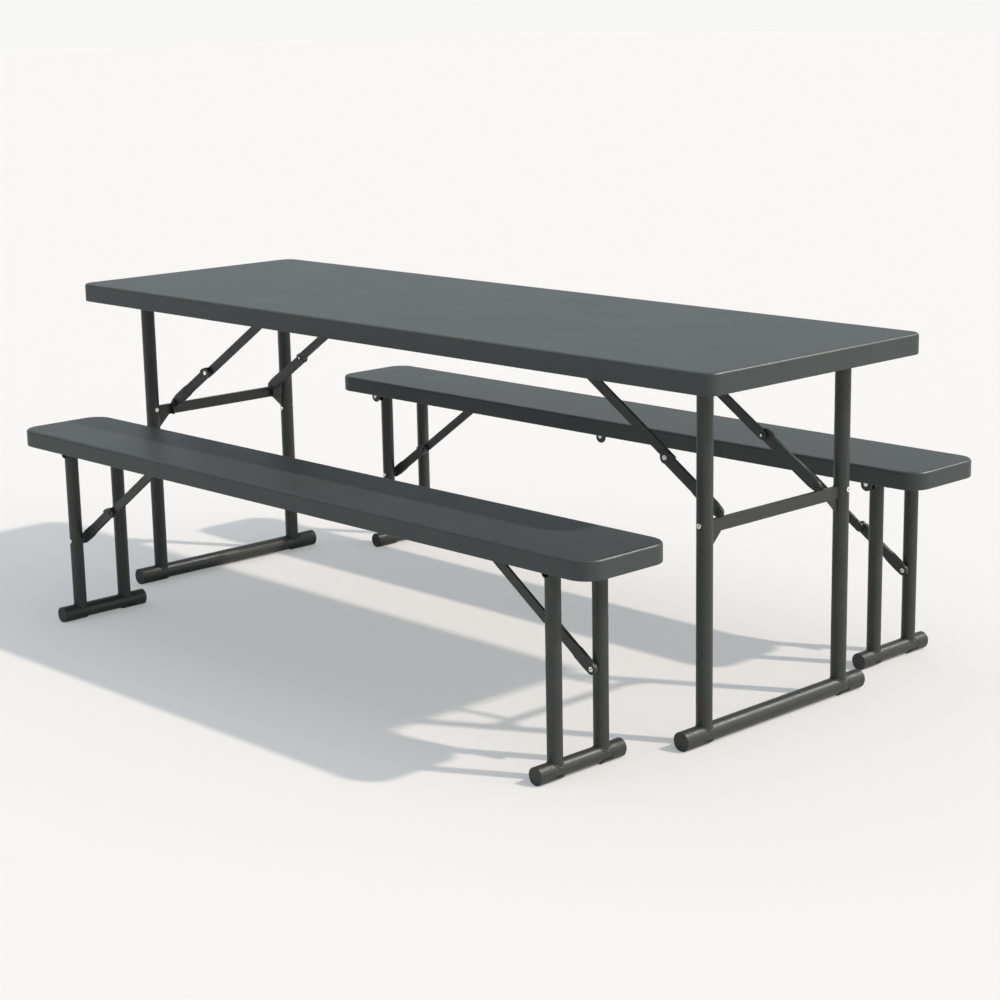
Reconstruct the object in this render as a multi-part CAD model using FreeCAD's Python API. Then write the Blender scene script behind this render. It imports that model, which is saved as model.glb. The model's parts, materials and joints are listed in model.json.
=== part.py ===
import FreeCAD, Part
import math
import os
from types import SimpleNamespace

# A folding table with two folding benches, in millimetres.
# The frame has +Z up, X along the table, Y across it, and its origin on the floor under the
# middle of the table. Each leg frame folds about a tube under the top, inwards along X.

os.makedirs("parts", exist_ok=True)

# Table top
TABLE_LENGTH = 2000.0
TABLE_WIDTH = 640.0
TABLE_HEIGHT = 740.0
TABLE_EDGE_DEPTH = 42.0
TABLE_CORNER_RADIUS = 30.0

# Table leg frames
TABLE_LEG_INSET = 111.0
TABLE_LEG_SPACING = 412.0
TABLE_LEG_DIAMETER = 32.0
TABLE_PIVOT_DROP = 46.0
TABLE_PIVOT_DIAMETER = 25.0
TABLE_PIVOT_LENGTH = 460.0
TABLE_FOOT_DIAMETER = 36.0
TABLE_FOOT_LENGTH = 544.0
TABLE_CAP_DIAMETER = 41.0
TABLE_FOLD_DEGREES = 90.0

# Crossbar, its corner plates and the lugs of the braces
CROSSBAR_DROP = 304.0
CROSSBAR_DEPTH = 25.0
CROSSBAR_THICKNESS = 9.0
CORNER_PLATE_WIDTH = 30.0
CORNER_PLATE_DROP = 30.0
CORNER_PLATE_THICKNESS = 4.0
LUG_THICKNESS = 2.5
LUG_RADIUS = 8.0

# Table braces
TABLE_BRACE_FROM_MIDDLE = 144.0
TABLE_BRACE_FOOT_OFFSET = 16.0
TABLE_BRACE_FOOT_DROP = 299.0
TABLE_BRACE_REACH = 430.0
TABLE_BRACE_TOP_DROP = 29.0
TABLE_LOWER_LINK_DEPTH = 23.0
TABLE_UPPER_LINK_DEPTH = 20.0
TABLE_WIDE_PART_DEPTH = 26.0
TABLE_WIDE_PART_LENGTH = 62.0

# Bench seats
BENCH_LENGTH = 1830.0
BENCH_WIDTH = 222.0
BENCH_HEIGHT = 440.0
BENCH_EDGE_DEPTH = 38.0
BENCH_CORNER_RADIUS = 45.0
BENCH_OUT_FROM_MIDDLE = 478.0
BENCH_SHIFT = 40.0

# Bench leg frames
BENCH_LEG_INSET = 135.0
BENCH_LEG_SPACING = 122.0
BENCH_LEG_DIAMETER = 30.0
BENCH_PIVOT_DROP = 47.0
BENCH_PIVOT_DIAMETER = 20.0
BENCH_PIVOT_LENGTH = 160.0
BENCH_FOOT_DIAMETER = 33.0
BENCH_FOOT_LENGTH = 224.0
BENCH_CAP_DIAMETER = 38.0
BENCH_FOLD_DEGREES = 88.0

# Bench braces
BENCH_BRACE_FOOT_DROP = 253.0
BENCH_BRACE_REACH = 310.0
BENCH_BRACE_TOP_DROP = 37.0
BENCH_LOWER_LINK_DEPTH = 21.0
BENCH_UPPER_LINK_DEPTH = 20.0
BENCH_WIDE_PART_DEPTH = 24.0
BENCH_WIDE_PART_LENGTH = 42.0

# Moulded tops, shared by table and seats
PANEL_THICKNESS = 14.0
SKIRT_WALL = 11.0
TOP_EDGE_ROUND = 6.0
BOTTOM_EDGE_ROUND = 2.5

# Tubes, foot caps and fits
TUBE_WALL = 1.5
PIVOT_FIT = 0.05
CAP_END_THICKNESS = 5.0
CAP_EDGE_ROUND = 1.5
CAP_FLAT = 0.6
CAP_TONGUE_PAST_LEG = 10.0
CAP_TONGUE_DEPTH = 9.0

# Links of the braces
LINK_END_RADIUS = 11.0
LINK_SWELL_LENGTH = 14.0
LINK_TAPER_LENGTH = 10.0
LOWER_LINK_THICKNESS = 8.0
UPPER_LINK_THICKNESS = 6.0
LINK_WALL = 1.8
LINK_GAP = 0.8
KNEE_EAR_EXTRA = 1.5
STOP_TAB_LENGTH = 12.0
STOP_TAB_RISE = 3.5
STOP_TAB_FROM_KNEE = 6.0

# Rivets
RIVET_DIAMETER = 6.0
RIVET_HEAD_DIAMETER = 10.0
RIVET_HEAD_THICKNESS = 2.0
LEG_RIVET_DIAMETER = 6.0
LEG_RIVET_HEAD_DIAMETER = 10.0
CROSSBAR_RIVET_DROP = 7.0
LOW_RIVET_DROP = 61.0

# Brackets under the tops
BRACKET_PLATE = 3.0
BRACKET_EAR = 3.0
TABLE_BRACKET_WIDTH = 34.0
TABLE_BRACKET_LENGTH = 60.0
TABLE_BRACKET_FROM_MIDDLE = 100.0
BENCH_BRACKET_WIDTH = 50.0
BENCH_BRACKET_LENGTH = 52.0
PIVOT_EAR_MARGIN = 5.0
ANCHOR_LENGTH = 44.0
ANCHOR_WIDTH = 22.0
ANCHOR_EAR_RADIUS = 8.0

# Rails and cross bars under the tops
RAIL_WIDTH = 18.0
RAIL_DEPTH = 20.0
TABLE_RAIL_FROM_EDGE = 24.0
RAIL_END_GAP = 60.0
CROSS_BAR_FROM_MIDDLE = 110.0
BENCH_RAIL_WIDTH = 5.0
BENCH_RAIL_FROM_EDGE = 1.0
BENCH_LUG_RADIUS = 14.0
BENCH_LUG_DROP = 43.0
BENCH_MIDDLE_LUG_OFF_CENTRE = 20.0

# Screws
SCREW_HEAD_DIAMETER = 8.0
SCREW_HEAD_THICKNESS = 2.4
SCREW_SHANK_DIAMETER = 4.0
SCREW_BITE = 9.0

# One overrun serves every cut
OVERRUN = 5.0

UP = FreeCAD.Vector(0, 0, 1)
ACROSS = FreeCAD.Vector(0, 1, 0)
ALONG = FreeCAD.Vector(1, 0, 0)
ORIGIN = FreeCAD.Vector(0, 0, 0)
HALF_TURN = 180.0


def leg_end_details(item):
    """Adds the places of the folding brace to a table or bench, at its right-hand end."""
    leg_x = item.length / 2 - item.leg_inset
    item.leg_x = leg_x
    item.leg_y = item.leg_spacing / 2
    item.foot_z = item.cap_diameter / 2 - CAP_FLAT
    item.underside = item.height - PANEL_THICKNESS
    item.crossbar_top = item.height - CROSSBAR_DROP
    item.hinge = (leg_x, item.pivot_height)
    item.brace_foot = (leg_x - item.brace_foot_offset, item.brace_foot_height)
    item.brace_top = (leg_x - item.brace_reach, item.brace_top_height)
    folded = turned_place(item.brace_foot, item.hinge, item.fold_degrees)
    straight = math.dist(item.brace_foot, item.brace_top)
    closed = math.dist(folded, item.brace_top)
    item.lower_length = (straight - closed) / 2
    item.knee = between(item.brace_foot, item.brace_top, item.lower_length)
    open_angle = angle_of(item.brace_foot, item.brace_top)
    closed_angle = angle_of(item.brace_top, folded)
    item.lower_turn = item.fold_degrees + closed_angle - open_angle
    item.upper_turn = open_angle - HALF_TURN - closed_angle
    print_brace(item, straight)
    return item


def turned_place(place, hinge, degrees):
    """Where a place in the side view goes when its leg folds inwards."""
    turn = math.radians(degrees)
    x = place[0] - hinge[0]
    z = place[1] - hinge[1]
    return (hinge[0] + x * math.cos(turn) + z * math.sin(turn),
            hinge[1] - x * math.sin(turn) + z * math.cos(turn))


def angle_of(start, end):
    return math.degrees(math.atan2(end[1] - start[1], end[0] - start[0]))


def print_brace(item, straight):
    """Prints the brace's measures, and the turns of its links over a whole fold."""
    print(item.name, "hinge", item.hinge, "foot", item.brace_foot, "knee", item.knee, "top", item.brace_top)
    print(item.name, "lower link", item.lower_length, "upper link", straight - item.lower_length)
    print(item.name, "lower turn", item.lower_turn, "upper turn", item.upper_turn)


def table_sizes():
    return leg_end_details(SimpleNamespace(
        name="table", length=TABLE_LENGTH, width=TABLE_WIDTH, height=TABLE_HEIGHT,
        edge_depth=TABLE_EDGE_DEPTH, corner_radius=TABLE_CORNER_RADIUS,
        leg_inset=TABLE_LEG_INSET, leg_spacing=TABLE_LEG_SPACING, leg_diameter=TABLE_LEG_DIAMETER,
        pivot_height=TABLE_HEIGHT - TABLE_PIVOT_DROP, pivot_diameter=TABLE_PIVOT_DIAMETER,
        pivot_length=TABLE_PIVOT_LENGTH, foot_diameter=TABLE_FOOT_DIAMETER,
        foot_length=TABLE_FOOT_LENGTH, cap_diameter=TABLE_CAP_DIAMETER,
        fold_degrees=TABLE_FOLD_DEGREES, brace_plane=TABLE_BRACE_FROM_MIDDLE,
        brace_foot_offset=TABLE_BRACE_FOOT_OFFSET,
        brace_foot_height=TABLE_HEIGHT - TABLE_BRACE_FOOT_DROP,
        brace_reach=TABLE_BRACE_REACH, brace_top_height=TABLE_HEIGHT - TABLE_BRACE_TOP_DROP,
        lower_depth=TABLE_LOWER_LINK_DEPTH, upper_depth=TABLE_UPPER_LINK_DEPTH,
        wide_depth=TABLE_WIDE_PART_DEPTH, wide_length=TABLE_WIDE_PART_LENGTH))


def bench_sizes():
    leg_face = BENCH_LEG_SPACING / 2 - BENCH_LEG_DIAMETER / 2
    stand_off = RIVET_HEAD_THICKNESS + 2 * LINK_GAP
    return leg_end_details(SimpleNamespace(
        name="bench", length=BENCH_LENGTH, width=BENCH_WIDTH, height=BENCH_HEIGHT,
        edge_depth=BENCH_EDGE_DEPTH, corner_radius=BENCH_CORNER_RADIUS,
        leg_inset=BENCH_LEG_INSET, leg_spacing=BENCH_LEG_SPACING, leg_diameter=BENCH_LEG_DIAMETER,
        pivot_height=BENCH_HEIGHT - BENCH_PIVOT_DROP, pivot_diameter=BENCH_PIVOT_DIAMETER,
        pivot_length=BENCH_PIVOT_LENGTH, foot_diameter=BENCH_FOOT_DIAMETER,
        foot_length=BENCH_FOOT_LENGTH, cap_diameter=BENCH_CAP_DIAMETER,
        fold_degrees=BENCH_FOLD_DEGREES, brace_plane=leg_face - stand_off - LOWER_LINK_THICKNESS,
        brace_foot_offset=0.0, brace_foot_height=BENCH_HEIGHT - BENCH_BRACE_FOOT_DROP,
        brace_reach=BENCH_BRACE_REACH, brace_top_height=BENCH_HEIGHT - BENCH_BRACE_TOP_DROP,
        lower_depth=BENCH_LOWER_LINK_DEPTH, upper_depth=BENCH_UPPER_LINK_DEPTH,
        wide_depth=BENCH_WIDE_PART_DEPTH, wide_length=BENCH_WIDE_PART_LENGTH))


# Simple shapes

def box(x0, x1, y0, y1, z0, z1):
    return Part.makeBox(x1 - x0, y1 - y0, z1 - z0, FreeCAD.Vector(x0, y0, z0))


def rod(point, y0, y1, radius):
    """A round bar across the table, centred on a place in the side view."""
    return Part.makeCylinder(radius, y1 - y0, FreeCAD.Vector(point[0], y0, point[1]), ACROSS)


def cross_tube(point, y0, y1, radius):
    return rod(point, y0, y1, radius).cut(rod(point, y0 - OVERRUN, y1 + OVERRUN, radius - TUBE_WALL))


def outline_solid(points, y0, y1):
    """A flat plate from a closed outline in the side view."""
    corners = [FreeCAD.Vector(x, y0, z) for x, z in points]
    face = Part.Face(Part.makePolygon(corners + corners[:1]))
    return face.extrude(FreeCAD.Vector(0, y1 - y0, 0))


def bar(start, end, half_start, half_end, y0, y1):
    """A straight bar in the side view that may taper."""
    run = math.dist(start, end)
    side = ((end[1] - start[1]) / run, (start[0] - end[0]) / run)
    points = [(start[0] + side[0] * half_start, start[1] + side[1] * half_start),
              (end[0] + side[0] * half_end, end[1] + side[1] * half_end),
              (end[0] - side[0] * half_end, end[1] - side[1] * half_end),
              (start[0] - side[0] * half_start, start[1] - side[1] * half_start)]
    return outline_solid(points, y0, y1)


def link_channel(start, end, half, y0, y1):
    """The hollow of a link that is pressed as a channel and open underneath."""
    run = math.dist(start, end)
    side = ((end[1] - start[1]) / run, (start[0] - end[0]) / run)
    roof = half - LINK_WALL
    low = half + OVERRUN
    points = [(start[0] + side[0] * roof, start[1] + side[1] * roof),
              (end[0] + side[0] * roof, end[1] + side[1] * roof),
              (end[0] - side[0] * low, end[1] - side[1] * low),
              (start[0] - side[0] * low, start[1] - side[1] * low)]
    return outline_solid(points, y0 + LINK_WALL, y1 - LINK_WALL)


def between(start, end, distance):
    """The place at a distance from the start on the way to the end."""
    share = distance / math.dist(start, end)
    return (start[0] + (end[0] - start[0]) * share, start[1] + (end[1] - start[1]) * share)


def join(shapes):
    return shapes[0].multiFuse(shapes[1:]).removeSplitter() if len(shapes) > 1 else shapes[0]


def rounded_plan(length, width, radius, z0, z1):
    """A slab with rounded corners, centred on the origin."""
    half_x = length / 2
    half_y = width / 2
    bend = radius * math.sqrt(0.5)
    edges = []
    for turn in range(4):
        along, across = (half_x, half_y) if turn % 2 == 0 else (half_y, half_x)
        start = FreeCAD.Vector(along - radius, -across, z0)
        corner = FreeCAD.Vector(along - radius, radius - across, z0)
        middle = corner + FreeCAD.Vector(bend, -bend, 0)
        end = FreeCAD.Vector(along, radius - across, z0)
        line_end = FreeCAD.Vector(along, across - radius, z0)
        for edge in (Part.Arc(start, middle, end).toShape(), Part.LineSegment(end, line_end).toShape()):
            edge.rotate(ORIGIN, UP, turn * HALF_TURN / 2)
            edges.append(edge)
    return Part.Face(Part.Wire(Part.__sortEdges__(edges))).extrude(UP * (z1 - z0))


def level_edges(shape, z):
    """The edges that lie flat at one height."""
    return [edge for edge in shape.Edges
            if abs(edge.BoundBox.ZMin - z) < PIVOT_FIT and abs(edge.BoundBox.ZMax - z) < PIVOT_FIT]


def other_end(shape):
    """The same piece at the left-hand end, turned half a turn."""
    turned = shape.copy()
    turned.rotate(ORIGIN, UP, HALF_TURN)
    return turned


def both_sides(shape):
    """A piece and its mirror image on the other side of the middle."""
    return [shape, shape.mirror(ORIGIN, ACROSS)]


# Tops and what is fixed to them

def moulded_top(item):
    bottom = item.height - item.edge_depth
    outer = rounded_plan(item.length, item.width, item.corner_radius, bottom, item.height)
    outer = outer.makeFillet(TOP_EDGE_ROUND, level_edges(outer, item.height))
    outer = outer.makeFillet(BOTTOM_EDGE_ROUND, level_edges(outer, bottom))
    recess = rounded_plan(item.length - 2 * SKIRT_WALL, item.width - 2 * SKIRT_WALL,
                          item.corner_radius - SKIRT_WALL, bottom - OVERRUN, item.underside)
    return outer.cut(recess)


def square_tube(x0, x1, y0, y1, z0, z1, along_x):
    outer = box(x0, x1, y0, y1, z0, z1)
    if along_x:
        bore = box(x0 - OVERRUN, x1 + OVERRUN, y0 + TUBE_WALL, y1 - TUBE_WALL,
                   z0 + TUBE_WALL, z1 - TUBE_WALL)
    else:
        bore = box(x0 + TUBE_WALL, x1 - TUBE_WALL, y0 - OVERRUN, y1 + OVERRUN,
                   z0 + TUBE_WALL, z1 - TUBE_WALL)
    return outer.cut(bore)


def table_rails(item):
    half = item.length / 2 - SKIRT_WALL - RAIL_END_GAP
    outer = item.width / 2 - TABLE_RAIL_FROM_EDGE
    rail = square_tube(-half, half, outer - RAIL_WIDTH, outer,
                       item.underside - RAIL_DEPTH, item.underside, True)
    return both_sides(rail)


def table_cross_bars(item):
    reach = item.width / 2 - TABLE_RAIL_FROM_EDGE - RAIL_WIDTH
    bars = []
    for place in (-CROSS_BAR_FROM_MIDDLE, CROSS_BAR_FROM_MIDDLE):
        bars.append(square_tube(place - RAIL_WIDTH / 2, place + RAIL_WIDTH / 2, -reach, reach,
                                item.underside - RAIL_DEPTH, item.underside, False))
    return bars


def pivot_bracket(item, middle, width, length):
    """A folded plate under the top whose two ears carry the pivot tube."""
    half_x = length / 2
    plate = box(item.leg_x - half_x, item.leg_x + half_x, middle - width / 2, middle + width / 2,
                item.underside - BRACKET_PLATE, item.underside)
    reach = item.pivot_diameter / 2 + PIVOT_EAR_MARGIN
    hinge = (item.leg_x, item.pivot_height)
    pieces = [plate]
    for start in (middle - width / 2, middle + width / 2 - BRACKET_EAR):
        pieces.append(box(item.leg_x - reach, item.leg_x + reach, start, start + BRACKET_EAR,
                          item.pivot_height, item.underside))
        pieces.append(rod(hinge, start, start + BRACKET_EAR, reach))
    bore = rod(hinge, middle - width, middle + width, item.pivot_diameter / 2 + PIVOT_FIT)
    return join(pieces).cut(bore)


def plate_screws(item, middle, width, length, gap_from_edge):
    """Two pan-head screws through a bracket's plate into the top."""
    low = item.underside - BRACKET_PLATE
    screws = []
    for place in (item.leg_x - length / 2 + gap_from_edge, item.leg_x + length / 2 - gap_from_edge):
        screws.append(screw(place, middle, low))
    return screws


def screw(x, y, low):
    head = Part.makeCylinder(SCREW_HEAD_DIAMETER / 2, SCREW_HEAD_THICKNESS,
                             FreeCAD.Vector(x, y, low - SCREW_HEAD_THICKNESS))
    return head.fuse(screw_hole(x, y, low))


def screw_hole(x, y, low):
    return Part.makeCylinder(SCREW_SHANK_DIAMETER / 2, BRACKET_PLATE + SCREW_BITE,
                             FreeCAD.Vector(x, y, low))


def upper_link_span(item):
    """Where the upper link lies across the table, from its inner to its outer face."""
    outer = item.brace_plane - LINK_GAP
    return outer - UPPER_LINK_THICKNESS, outer


def anchor_ear_span(item):
    inner = upper_link_span(item)[0] - LINK_GAP
    return inner - BRACKET_EAR, inner


def anchor_bracket(item):
    """The bracket under the top that carries the upper end of a brace, on one side only."""
    start, end = anchor_ear_span(item)
    x, z = item.brace_top
    plate = box(x - ANCHOR_LENGTH / 2, x + ANCHOR_LENGTH / 2, end - ANCHOR_WIDTH, end,
                item.underside - BRACKET_PLATE, item.underside)
    ear = box(x - ANCHOR_EAR_RADIUS, x + ANCHOR_EAR_RADIUS, start, end, z, item.underside)
    lobe = rod(item.brace_top, start, end, ANCHOR_EAR_RADIUS)
    hole = rod(item.brace_top, start - OVERRUN, end + OVERRUN, RIVET_DIAMETER / 2)
    return join([plate, ear, lobe]).cut(hole)


def anchor_rivet(item):
    """The rivet fixed in the bracket's ear, on which the upper link turns."""
    start = anchor_ear_span(item)[0]
    end = upper_link_span(item)[1] + PIVOT_FIT
    radius = RIVET_HEAD_DIAMETER / 2
    shank = rod(item.brace_top, start, end, RIVET_DIAMETER / 2)
    heads = [rod(item.brace_top, start - RIVET_HEAD_THICKNESS, start, radius),
             rod(item.brace_top, end, end + RIVET_HEAD_THICKNESS, radius)]
    return join([shank] + heads)


def anchor_screws(item):
    x = item.brace_top[0]
    y = anchor_ear_span(item)[1] - ANCHOR_WIDTH / 2 - BRACKET_EAR
    low = item.underside - BRACKET_PLATE
    spread = ANCHOR_LENGTH / 2 - SCREW_HEAD_DIAMETER
    return [screw(place, y, low) for place in (x - spread, x + spread)]


# Leg frames, built at the right-hand end

def leg_tubes(item):
    radius = item.leg_diameter / 2
    tubes = []
    for y in (-item.leg_y, item.leg_y):
        base = FreeCAD.Vector(item.leg_x, y, item.foot_z)
        height = item.pivot_height - item.foot_z
        tube = Part.makeCylinder(radius, height, base)
        tube = tube.cut(Part.makeCylinder(radius - TUBE_WALL, height, base))
        foot = rod((item.leg_x, item.foot_z), y - item.leg_diameter, y + item.leg_diameter,
                   item.foot_diameter / 2)
        pivot = rod((item.leg_x, item.pivot_height), y - item.leg_diameter, y + item.leg_diameter,
                    item.pivot_diameter / 2)
        tubes.append(tube.cut(foot).cut(pivot))
    return tubes


def pivot_tube(item):
    half = item.pivot_length / 2
    return cross_tube((item.leg_x, item.pivot_height), -half, half, item.pivot_diameter / 2)


def foot_tube(item):
    half = item.foot_length / 2 - CAP_END_THICKNESS
    return cross_tube((item.leg_x, item.foot_z), -half, half, item.foot_diameter / 2)


def foot_cap(item):
    """A sleeve over the foot tube's end, with a tongue that runs on under the leg."""
    centre = (item.leg_x, item.foot_z)
    end = item.foot_length / 2
    sleeve_start = item.leg_y + item.leg_diameter / 2
    tongue_start = item.leg_y - CAP_TONGUE_PAST_LEG
    sleeve = rod(centre, sleeve_start, end, item.cap_diameter / 2)
    sleeve = sleeve.makeFillet(CAP_EDGE_ROUND, [edge for edge in sleeve.Edges
                                                if edge.BoundBox.YMin > end - PIVOT_FIT])
    tongue = rod(centre, tongue_start, sleeve_start, item.cap_diameter / 2)
    radius = item.cap_diameter / 2
    low = item.foot_z - radius
    tongue = tongue.common(box(item.leg_x - radius, item.leg_x + radius, tongue_start, sleeve_start,
                               low, low + CAP_TONGUE_DEPTH))
    bore = rod(centre, tongue_start - OVERRUN, end - CAP_END_THICKNESS, item.foot_diameter / 2)
    floor = box(item.leg_x - radius, item.leg_x + radius, tongue_start - OVERRUN, end + OVERRUN,
                low - OVERRUN, 0)
    return sleeve.fuse(tongue).cut(bore).cut(floor).removeSplitter()


def crossbar(item):
    reach = item.leg_y
    half = CROSSBAR_THICKNESS / 2
    tube = square_tube(item.leg_x - half, item.leg_x + half, -reach, reach,
                       item.crossbar_top - CROSSBAR_DEPTH, item.crossbar_top, False)
    for y in (-item.leg_y, item.leg_y):
        base = FreeCAD.Vector(item.leg_x, y, 0)
        leg = Part.makeCylinder(item.leg_diameter / 2, item.crossbar_top, base)
        tube = tube.cut(leg)
    return tube


def corner_plate(item):
    """The plate that fills the corner below the crossbar's end."""
    high = item.crossbar_top - CROSSBAR_DEPTH
    inner = item.leg_y - item.leg_diameter / 2 - CORNER_PLATE_WIDTH
    half = CORNER_PLATE_THICKNESS / 2
    points = [FreeCAD.Vector(item.leg_x - half, inner, high),
              FreeCAD.Vector(item.leg_x - half, item.leg_y, high),
              FreeCAD.Vector(item.leg_x - half, item.leg_y, high - CORNER_PLATE_DROP),
              FreeCAD.Vector(item.leg_x - half, item.leg_y - item.leg_diameter / 2,
                             high - CORNER_PLATE_DROP)]
    plate = Part.Face(Part.makePolygon(points + points[:1])).extrude(ALONG * CORNER_PLATE_THICKNESS)
    leg = Part.makeCylinder(item.leg_diameter / 2, high, FreeCAD.Vector(item.leg_x, item.leg_y, 0))
    return plate.cut(leg)


def brace_lug(item):
    """The lug on the crossbar's inner face that carries a lower link, outside the link."""
    start = item.brace_plane + LOWER_LINK_THICKNESS + LINK_GAP
    end = start + LUG_THICKNESS
    x, z = item.brace_foot
    lug = box(x, item.leg_x - CROSSBAR_THICKNESS / 2, start, end, item.crossbar_top - CROSSBAR_DEPTH, z)
    lobe = rod(item.brace_foot, start, end, LUG_RADIUS)
    hole = rod(item.brace_foot, start - OVERRUN, end + OVERRUN, RIVET_DIAMETER / 2)
    return join([lug, lobe]).cut(hole)


def lug_rivet(item):
    """The rivet through a lug, on which a lower link turns. Its inner head is let into the link."""
    start = item.brace_plane
    end = start + LOWER_LINK_THICKNESS + LINK_GAP + LUG_THICKNESS
    radius = RIVET_HEAD_DIAMETER / 2
    shank = rod(item.brace_foot, start, end, RIVET_DIAMETER / 2)
    heads = [rod(item.brace_foot, start, start + RIVET_HEAD_THICKNESS - PIVOT_FIT, radius),
             rod(item.brace_foot, end, end + RIVET_HEAD_THICKNESS, radius)]
    return join([shank] + heads)


def leg_side_rivet(item):
    """The rivet through a bench leg, on which the lower link turns.
    Its inner head is let into the link, and a shoulder holds the link off the leg."""
    start = item.brace_plane
    outer = item.leg_y + item.leg_diameter / 2
    radius = RIVET_HEAD_DIAMETER / 2
    shoulder = start + LOWER_LINK_THICKNESS + PIVOT_FIT
    shank = rod(item.brace_foot, start, outer, RIVET_DIAMETER / 2)
    wide_parts = [rod(item.brace_foot, start, start + RIVET_HEAD_THICKNESS - PIVOT_FIT, radius),
                  rod(item.brace_foot, shoulder, item.leg_y - item.leg_diameter / 2, radius),
                  rod(item.brace_foot, outer, outer + RIVET_HEAD_THICKNESS, radius)]
    return join([shank] + wide_parts)


# Braces, built on the +Y side of the right-hand end

def lower_link(item):
    """A pressed channel with a wider part at its foot and a round ear at the knee."""
    start = item.brace_plane
    end = start + LOWER_LINK_THICKNESS
    foot = item.brace_foot
    knee = item.knee
    half = item.lower_depth / 2
    wide = item.wide_depth / 2
    swell = between(foot, knee, LINK_SWELL_LENGTH)
    wide_end = between(foot, knee, item.wide_length)
    taper_end = between(foot, knee, item.wide_length + LINK_TAPER_LENGTH)
    ear = half + KNEE_EAR_EXTRA
    pieces = [rod(foot, start, end, LINK_END_RADIUS), bar(foot, swell, LINK_END_RADIUS, wide, start, end),
              bar(swell, wide_end, wide, wide, start, end),
              bar(wide_end, taper_end, wide, half, start, end),
              bar(taper_end, knee, half, half, start, end), rod(knee, start, end, ear),
              stop_tab(item, start, end)]
    hollow = link_channel(swell, between(knee, foot, ear), half, start, end)
    hole = rod(foot, start - OVERRUN, end + OVERRUN, RIVET_DIAMETER / 2 + PIVOT_FIT)
    seat = rod(foot, start - OVERRUN, start + RIVET_HEAD_THICKNESS, RIVET_HEAD_DIAMETER / 2 + PIVOT_FIT)
    rivet_hole = rod(knee, start, end + OVERRUN, RIVET_DIAMETER / 2)
    return join(pieces).cut(hollow).cut(hole).cut(seat).cut(rivet_hole)


def stop_tab(item, start, end):
    """The small tab on the link's upper edge, just before the knee."""
    foot = item.brace_foot
    knee = item.knee
    near = between(knee, foot, STOP_TAB_FROM_KNEE)
    far = between(knee, foot, STOP_TAB_FROM_KNEE + STOP_TAB_LENGTH)
    run = math.dist(foot, knee)
    rise = ((knee[1] - foot[1]) / run, (foot[0] - knee[0]) / run)
    half = item.lower_depth / 2
    points = []
    for place, height in ((near, 0), (near, half + STOP_TAB_RISE), (far, half + STOP_TAB_RISE), (far, 0)):
        points.append((place[0] + rise[0] * height, place[1] + rise[1] * height))
    return outline_solid(points, start, end)


def knee_rivet(item):
    start = item.brace_plane
    end = start + LOWER_LINK_THICKNESS
    shank = rod(item.knee, start, end, RIVET_DIAMETER / 2)
    head = rod(item.knee, end, end + RIVET_HEAD_THICKNESS, RIVET_HEAD_DIAMETER / 2)
    return shank.fuse(head)


def upper_link(item):
    """A thinner channel from the knee to the bracket under the top."""
    start, end = upper_link_span(item)
    half = item.upper_depth / 2
    knee = item.knee
    top = item.brace_top
    pieces = [rod(knee, start, end, half), bar(knee, top, half, half, start, end),
              rod(top, start, end, half)]
    hollow = link_channel(between(knee, top, item.upper_depth), between(top, knee, item.upper_depth),
                          half, start, end)
    hole = rod(top, start - OVERRUN, end + OVERRUN, RIVET_DIAMETER / 2 + PIVOT_FIT)
    button = rod(knee, start - RIVET_HEAD_THICKNESS, start, RIVET_HEAD_DIAMETER / 2)
    return join(pieces + [button]).cut(hollow).cut(hole)


# Writing the sub-parts

def write(name, shapes):
    solids = [solid for shape in shapes for solid in shape.Solids]
    for solid in solids:
        if not solid.isValid():
            print("not valid", name)
    shape = solids[0] if len(solids) == 1 else Part.makeCompound(solids)
    shape.exportStep(os.path.join("parts", name + ".step"))


def moved(shapes, shift):
    result = []
    for shape in shapes:
        copy = shape.copy()
        copy.translate(shift)
        result.append(copy)
    return result


def at_end(side, shapes):
    return shapes if side == "right" else [other_end(shape) for shape in shapes]


def leg_rivet(start, end, second_head):
    """A rivet through a tube, with a head at its start and, where wanted, at its end."""
    step = (end - start).normalize()
    run = (end - start).Length
    head = LEG_RIVET_HEAD_DIAMETER / 2
    shapes = [Part.makeCylinder(LEG_RIVET_DIAMETER / 2, run, start, step),
              Part.makeCylinder(head, RIVET_HEAD_THICKNESS, start - step * RIVET_HEAD_THICKNESS, step)]
    if second_head:
        shapes.append(Part.makeCylinder(head, RIVET_HEAD_THICKNESS, end, step))
    return join(shapes)


def table_leg_rivets(item, side):
    """The rivet of the leg at +Y runs along the table.
    The other leg's runs across it: into the crossbar's open end, or below the corner plate."""
    radius = item.leg_diameter / 2
    high = item.crossbar_top - CROSSBAR_RIVET_DROP
    far_in = FreeCAD.Vector(item.leg_x - radius, item.leg_y, high)
    far_out = FreeCAD.Vector(item.leg_x + radius, item.leg_y, high)
    height = high if side == "right" else item.crossbar_top - LOW_RIVET_DROP
    near_out = FreeCAD.Vector(item.leg_x, -item.leg_y - radius, height)
    near_in = FreeCAD.Vector(item.leg_x, radius - item.leg_y, height)
    return [leg_rivet(far_in, far_out, True), leg_rivet(near_out, near_in, side == "left")]


def drill_legs(tubes, rivets):
    """Opens the tubes where rivets pass."""
    result = []
    for tube in tubes:
        for rivet in rivets:
            tube = tube.cut(rivet)
        result.append(tube)
    return result


def cut_screws(shape, screws):
    for one in screws:
        box_of = one.BoundBox
        shape = shape.cut(screw_hole(box_of.Center.x, box_of.Center.y, box_of.ZMin + SCREW_HEAD_THICKNESS))
    return shape


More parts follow.
